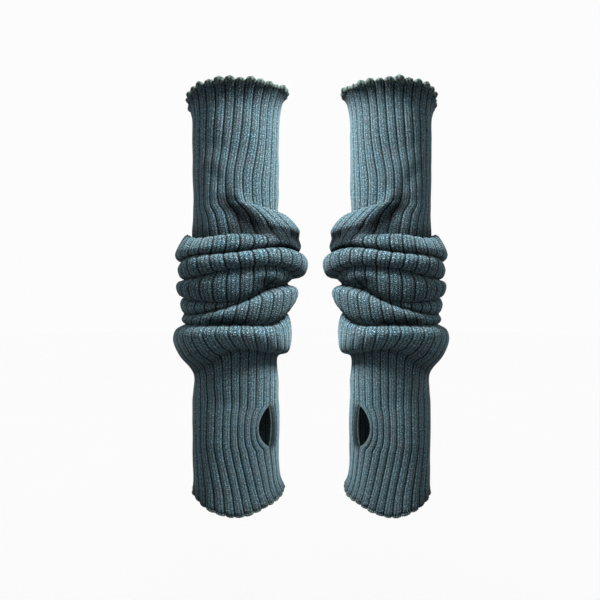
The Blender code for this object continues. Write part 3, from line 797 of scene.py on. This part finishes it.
def overlock_yarn(settings):
    """Bulked nylon overlock yarn, wound tight: matt, flecked, with painted light on each strand and
    painted shade in the gaps between strands.
    """
    material, tree, shader = material_tree(EDGE_YARN)
    knit = add_node(tree, "ShaderNodeUVMap", uv_map="knit")
    parts = add_node(tree, "ShaderNodeSeparateXYZ", {0: knit})
    # the map's first value counts strands along the edge, and its second turns round it
    lag = add_node(tree, MATH, {0: parts.outputs[0], 1: parts.outputs[1]}, operation="ADD")
    phase = add_node(tree, MATH, {0: lag, 1: 2 * math.pi}, operation="MULTIPLY")
    # painted light on each strand's crest and painted shade in the gap beside the next
    strand = add_node(tree, MATH, {0: phase}, operation="COSINE")
    shown = add_node(tree, MATH, {0: strand, 1: 0.18, 2: 0.18}, operation="MULTIPLY_ADD")
    fibre = add_node(tree, "ShaderNodeTexCoord").outputs["Object"]
    flecks = add_node(
        tree, "ShaderNodeTexNoise", {"Vector": fibre, "Scale": 1 / (EDGE_FLECK * MM), "Detail": 2}
    )
    lit = {0: flecks.outputs["Fac"], 1: 1.0, 2: shown}
    blend = add_node(tree, MATH, lit, operation="MULTIPLY_ADD")
    tones = add_node(tree, "ShaderNodeValToRGB", {0: blend})
    ramp = tones.color_ramp
    ramp.elements[0].position, ramp.elements[0].color = 0.5, (*settings.gap_shade_and_dark_fleck, 1)
    ramp.elements[1].position, ramp.elements[1].color = 0.85, (*settings.yarn_colour, 1)
    tree.links.new(tones.outputs[0], shader.inputs["Base Color"])
    bump = add_node(
        tree, "ShaderNodeBump", {"Height": flecks, "Strength": 0.5, "Distance": 0.3 * MM}
    )
    tree.links.new(bump.outputs[0], shader.inputs["Normal"])
    shader.inputs["Roughness"].default_value = 0.8
    shader.inputs["IOR"].default_value = 1.5
    shader.inputs["Specular IOR Level"].default_value = 0.08
    shader.inputs["Sheen Weight"].default_value = 0.05
    return material


def pale_board(settings):
    """Matt painted board of a photographer's sweep: even, pale and without gloss."""
    material, tree, shader = material_tree("matt_painted_board")
    where = add_node(tree, "ShaderNodeTexCoord")
    mottle = add_node(
        tree, "ShaderNodeTexNoise", {"Vector": where.outputs["Object"], "Scale": 3, "Detail": 1}
    )
    tones = add_node(tree, "ShaderNodeValToRGB", {0: mottle.outputs["Fac"]})
    tones.color_ramp.elements[0].color = (*(c * 0.99 for c in settings.board_colour), 1)
    tones.color_ramp.elements[1].color = (*settings.board_colour, 1)
    tree.links.new(tones.outputs[0], shader.inputs["Base Color"])
    shader.inputs["Roughness"].default_value = 0.95
    shader.inputs["Specular IOR Level"].default_value = 0.1
    return material


class KnitSettings(bpy.types.PropertyGroup):
    """Sizes and colours of the ribbed cloth"""

    wall: FloatProperty(
        name="Cloth thickness", description="Cloth under the ribs", default=1.8 * MM, unit="LENGTH"
    )
    rib_rise: FloatProperty(
        name="Rib rise", description="How far a rib stands over its grooves",
        default=1.3 * MM, unit="LENGTH",
    )
    groove_sharpness: FloatProperty(
        name="Groove sharpness", description="Higher is a narrower groove between ribs", default=13
    )
    pressed: FloatProperty(
        name="Pressed ribs", description="Share of their rise that ribs keep between two rolls",
        default=0.5, subtype="FACTOR",
    )
    columns_per_rib: IntProperty(
        name="Columns per rib", description="Faces across one rib",
        default=14,
    )
    row_step: FloatProperty(
        name="Row step", description="Length of a face down the cloth",
        default=2.15 * MM, unit="LENGTH",
    )
    ruffle_out: FloatProperty(
        name="Ruffle out", description="How far each rib's end leans out at a rim",
        default=1.5 * MM, unit="LENGTH",
    )
    ruffle_up: FloatProperty(
        name="Ruffle up", description="How far each rib's end stands past a rim",
        default=0.8 * MM, unit="LENGTH",
    )
    hand_ruffle: FloatProperty(
        name="Hand ruffle", description="The hand end's ruffle as a share of the arm end's",
        default=0.2,
    )
    unevenness: FloatProperty(
        name="Unevenness", description="Soft unevenness of the cloth",
        default=0.5 * MM, unit="LENGTH",
    )
    wander: FloatProperty(
        name="Wander", description="Degrees that the ribs wander from straight", default=0.7
    )
    wales: IntProperty(
        name="Knit wales", description="Knit wales in each rib, beside its purl one",
        default=3,
    )
    course: FloatProperty(
        name="Course height", description="Height of one stitch", default=1.9 * MM, unit="LENGTH"
    )
    base: FloatVectorProperty(
        name="Yarn", description="The yarn's main colour",
        default=linear("#26353B"), subtype="COLOR",
    )
    dark: FloatVectorProperty(
        name="Dark fleck", description="The dark fibres' colour",
        default=linear("#0A1215"), subtype="COLOR",
    )
    light: FloatVectorProperty(
        name="Light fleck", description="The light fibres' colour",
        default=linear("#8AA6B3"), subtype="COLOR",
    )


class EdgeSettings(bpy.types.PropertyGroup):
    """Sizes and colours of the sewn edges"""

    arm_radius: FloatProperty(
        name="Arm edge", description="Radius of the arm end's roll", default=2.0 * MM, unit="LENGTH"
    )
    hand_radius: FloatProperty(
        name="Hand edge", description="Radius of the hand end's roll",
        default=1.15 * MM, unit="LENGTH",
    )
    thumb_radius: FloatProperty(
        name="Thumb binding", description="Radius of the thumb slit's binding",
        default=0.8 * MM, unit="LENGTH",
    )
    wraps_per_rib: IntProperty(
        name="Strands per rib", description="Strands wound over the edge at each rib", default=4
    )
    strand_pitch: FloatProperty(
        name="Strand pitch", description="Pitch of the thumb binding's strands",
        default=1.6 * MM, unit="LENGTH",
    )
    yarn_colour: FloatVectorProperty(
        name="Edge yarn", description="The overlock yarn's colour",
        default=linear("#3A4844"), subtype="COLOR",
    )
    # painted shade in the gaps between strands, and the dark flecks' colour
    gap_shade_and_dark_fleck: FloatVectorProperty(
        name="Edge gaps", description="Colour between the strands",
        default=linear("#0F1516"), subtype="COLOR",
    )


class StageSettings(bpy.types.PropertyGroup):
    """The floor, the lights and the camera"""

    floor_drop: FloatProperty(
        name="Floor drop", description="How far the floor lies under the warmers",
        default=0.45, unit="LENGTH",
    )
    board_colour: FloatVectorProperty(
        name="Floor", description="The painted board's colour",
        default=linear("#FFFFFF"), subtype="COLOR",
    )
    sky: FloatProperty(
        name="Soft light", description="Strength of the light from all round",
        default=1.0,
    )
    key: FloatProperty(
        name="Key light", description="Strength of each soft box", default=67, subtype="POWER"
    )
    camera_distance: FloatProperty(
        name="Camera distance", description="Camera to the middle of the pair",
        default=0.5, unit="LENGTH",
    )


def seed_of(side):
    """What a side's unevenness starts from, so that the two sides differ."""
    return 3 + SIDES.index(side) * 11


class WARMERS_OT_tubes(bpy.types.Operator):
    """Knit both ribbed tubes, each with its thumb slit"""

    bl_idname = "warmers.tubes"
    bl_label = "Knit the tubes"

    def execute(self, context):
        settings = context.scene.warmers_knit
        material = melange_rib_knit(settings)
        step = settings.row_step / MM
        ribs = np.linspace(0, RIBS, RIBS * settings.columns_per_rib + 1)
        inner_ribs = np.linspace(0, RIBS, RIBS * INNER_COLUMNS + 1)
        for side in SIDES:
            made = new_mesh()
            rims, lips = [], []
            layers = (("out", ribs, rows_down(step)), ("in", inner_ribs, rows_down(2 * step)))
            for layer, columns, rows in layers:
                middle, closed = cloth(rows, columns, settings, seed_of(side))
                normals = outward(middle, closed)
                if layer == "out":
                    raised = rib_height(rows, columns, settings)
                else:
                    raised = np.full(middle.shape[:2], -settings.wall / MM)
                points = placed(middle + raised[..., None] * normals, side)
                verts = lay_grid(made, points, columns, lengths_down(middle))
                mark_painted_shade(made, verts, rows, middle)
                close_seam(made, verts, closed)
                rims.append((verts[0], verts[-1]))
                gaping = [i for i, shut in enumerate(closed) if not shut]
                lips.append(verts[gaping[0] - 1:gaping[-1] + 2])
            made.edges.ensure_lookup_table()
            open_edges = [edge for edge in made.edges if edge.is_boundary]
            for end in (0, 1):
                ends = {vert for pair in rims for vert in pair[end] if vert.is_valid}
                self.bridge(made, [e for e in open_edges if all(v in ends for v in e.verts)])
            lip_ends = [vert for lip in lips for row in lip for vert in (row[0], row[-1])]
            slit = {vert for vert in lip_ends if vert.is_valid}
            self.bridge(made, [e for e in open_edges if all(v in slit for v in e.verts)])
            finished(side + "_rib_knit_tube", made, material, side + "_tube")
        return {"FINISHED"}

    @staticmethod
    def bridge(made, edges):
        """Joins the outer layer's open edge to the inner one's."""
        made_faces = bmesh.ops.bridge_loops(made, edges=edges)["faces"]
        if not made_faces:
            raise RuntimeError("two edges of the cloth couldn't be joined")
        carry_map(made, made_faces)


class WARMERS_OT_lettuce_edges(bpy.types.Operator):
    """Overlock the wavy arm and hand ends of both tubes"""

    bl_idname = "warmers.lettuce_edges"
    bl_label = "Overlock the ends"

    def execute(self, context):
        knit, edge = context.scene.warmers_knit, context.scene.warmers_edge
        wraps = RIBS * edge.wraps_per_rib
        ribs = np.linspace(0, RIBS, wraps * FACES_PER_STRAND + 1)
        for side in SIDES:
            for end in ("arm", "hand"):
                rows = EDGE_ROWS if end == "arm" else [LAST - row for row in EDGE_ROWS[::-1]]
                rim, beside = (0, 1) if end == "arm" else (-1, -2)
                middle, closed = cloth(rows, ribs, knit, seed_of(side))
                normals = outward(middle, closed)
                raised = rib_height(rows, ribs, knit)
                past = middle[rim] - middle[beside]
                past /= np.linalg.norm(past, axis=-1, keepdims=True)
                lift = (raised[rim] - knit.wall / MM) / 2
                path = middle[rim] + normals[rim] * lift[:, None] + past * EDGE_PAST
                beads = BEADS[end] * scallop(ribs[:-1])
                own = BEADS_DIFFER * np.sin(np.floor(ribs[:-1]) * BEAD_STEP + seed_of(side))
                radius = edge.arm_radius if end == "arm" else edge.hand_radius
                name = side + "_" + end + "_lettuce_edge"
                wind_edge(side, end, name, path[:-1], radius, wraps, 1 + beads + own)
        return {"FINISHED"}


class WARMERS_OT_thumb_bindings(bpy.types.Operator):
    """Bind the lips of both thumb slits"""

    bl_idname = "warmers.thumb_bindings"
    bl_label = "Bind the thumb slits"

    def execute(self, context):
        knit, edge = context.scene.warmers_knit, context.scene.warmers_edge
        names = [name for name, _ in RINGS]
        first, last = names.index("slit_1"), names.index("slit_7")
        rows = np.linspace(first + LIP_INSIDE, last - LIP_INSIDE, LIP_POINTS)
        ribs = np.linspace(0, RIBS, RIBS * LIP_COLUMNS + 1)
        for side in SIDES:
            middle, closed = cloth(rows, ribs, knit, seed_of(side))
            normals = outward(middle, closed)
            lips = [middle[:, at] - normals[:, at] * knit.wall / MM / 2 for at in (-1, 0)]
            path = np.concatenate([lips[0], lips[1][::-1]])
            length = np.linalg.norm(np.diff(path, axis=0), axis=-1).sum()
            wraps = round(length * MM / edge.strand_pitch)
            name = side + "_thumb_binding"
            wind_edge(side, "thumb", name, path, edge.thumb_radius, wraps, np.ones(len(path)))
        return {"FINISHED"}


class WARMERS_OT_declare(bpy.types.Operator):
    """Does nothing: the cut of each tube's cloth is not stated"""

    bl_idname = "warmers.declare"
    bl_label = "State the cloth's cut"

    def execute(self, context):
        return {"FINISHED"}


class WARMERS_OT_stage(bpy.types.Operator):
    """Set the pale floor, the soft lights and the camera"""

    bl_idname = "warmers.stage"
    bl_label = "Set the stage"

    def execute(self, context):
        settings = context.scene.warmers_stage
        self.sweep(settings)
        self.lights(settings)
        self.camera(settings)
        return {"FINISHED"}

    @staticmethod
    def sweep(settings):
        """A wide round floor."""
        made = bmesh.new()
        bmesh.ops.create_circle(made, cap_ends=True, segments=96, radius=FLOOR_RADIUS)
        height = CAD_BOX[0][2] - settings.floor_drop
        bmesh.ops.translate(made, verts=made.verts, vec=(0, 0, height))
        mesh = bpy.data.meshes.new("floor")
        made.to_mesh(mesh)
        made.free()
        mesh.materials.append(pale_board(settings))
        floor = bpy.data.objects.new("floor", mesh)
        bpy.context.scene.collection.objects.link(floor)
        floor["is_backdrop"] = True

    @staticmethod
    def lights(settings):
        """An even light all round, and for each warmer a soft box that lights it alone."""
        world = bpy.data.worlds.new("soft_tent")
        world.use_nodes = True
        sky = world.node_tree.nodes["Background"]
        sky.inputs["Color"].default_value = (*linear("#FCFCFC"), 1)
        sky.inputs["Strength"].default_value = settings.sky
        bpy.context.scene.world = world
        for side, toward in (("left", 1), ("right", -1)):
            data = bpy.data.lights.new(side + "_soft_box", "AREA")
            data.energy = settings.key
            data.shape = "RECTANGLE"
            data.size = data.size_y = SOFT_BOX_SIZE
            light = bpy.data.objects.new(data.name, data)
            aim = Vector((-toward * AXIS_APART / 2 * MM, 0, LIT_HEIGHT))
            inward, front, up = SOFT_BOX_AT
            light.location = aim + Vector((toward * inward, front, up))
            light.rotation_euler = (aim - light.location).to_track_quat("-Z", "Y").to_euler()
            bpy.context.scene.collection.objects.link(light)
            own = bpy.data.collections.new(side + "_warmer_only")
            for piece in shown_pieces():
                if piece.name.startswith(side):
                    own.objects.link(piece)
            light.light_linking.receiver_collection = own
            light.light_linking.blocker_collection = own

    @staticmethod
    def camera(settings):
        """A long lens that looks a little down on the pair."""
        data = bpy.data.cameras.new("camera")
        data.sensor_width = SENSOR_WIDTH
        data.lens = LENS * data.sensor_width
        camera = bpy.data.objects.new("camera", data)
        aim = Vector((CAMERA_X, 0, AIM_HEIGHT))
        camera.location = (CAMERA_X, -settings.camera_distance, CAMERA_HEIGHT)
        camera.rotation_euler = (aim - camera.location).to_track_quat("-Z", "Y").to_euler()
        bpy.context.scene.collection.objects.link(camera)
        bpy.context.scene.camera = camera
        bpy.context.scene.view_settings.view_transform = "Standard"


class WARMERS_PT_panel(bpy.types.Panel):
    """The steps and the values that make the pair"""

    bl_idname = "WARMERS_PT_panel"
    bl_label = "Wrist Warmers"
    bl_space_type = "VIEW_3D"
    bl_region_type = "UI"
    bl_category = "Wrist Warmers"

    def draw(self, context):
        for operator in OPERATORS:
            self.layout.operator(operator.bl_idname)
        for name, group in GROUPS.items():
            box = self.layout.box()
            for value in group.__annotations__:
                box.prop(getattr(context.scene, name), value)


OPERATORS = (
    WARMERS_OT_tubes,
    WARMERS_OT_lettuce_edges,
    WARMERS_OT_thumb_bindings,
    WARMERS_OT_declare,
    WARMERS_OT_stage,
)
GROUPS = {
    "warmers_knit": KnitSettings,
    "warmers_edge": EdgeSettings,
    "warmers_stage": StageSettings,
}
CLASSES = (*GROUPS.values(), *OPERATORS, WARMERS_PT_panel)


def register():
    for each in CLASSES:
        bpy.utils.register_class(each)
    for name, group in GROUPS.items():
        setattr(bpy.types.Scene, name, PointerProperty(type=group))


def unregister():
    for name in GROUPS:
        delattr(bpy.types.Scene, name)
    for each in reversed(CLASSES):
        bpy.utils.unregister_class(each)


def main():
    register()
    bpy.ops.warmers.tubes()
    bpy.ops.warmers.lettuce_edges()
    bpy.ops.warmers.thumb_bindings()
    bpy.ops.warmers.declare()
    bpy.ops.warmers.stage()


if __name__ == "__main__":
    main()
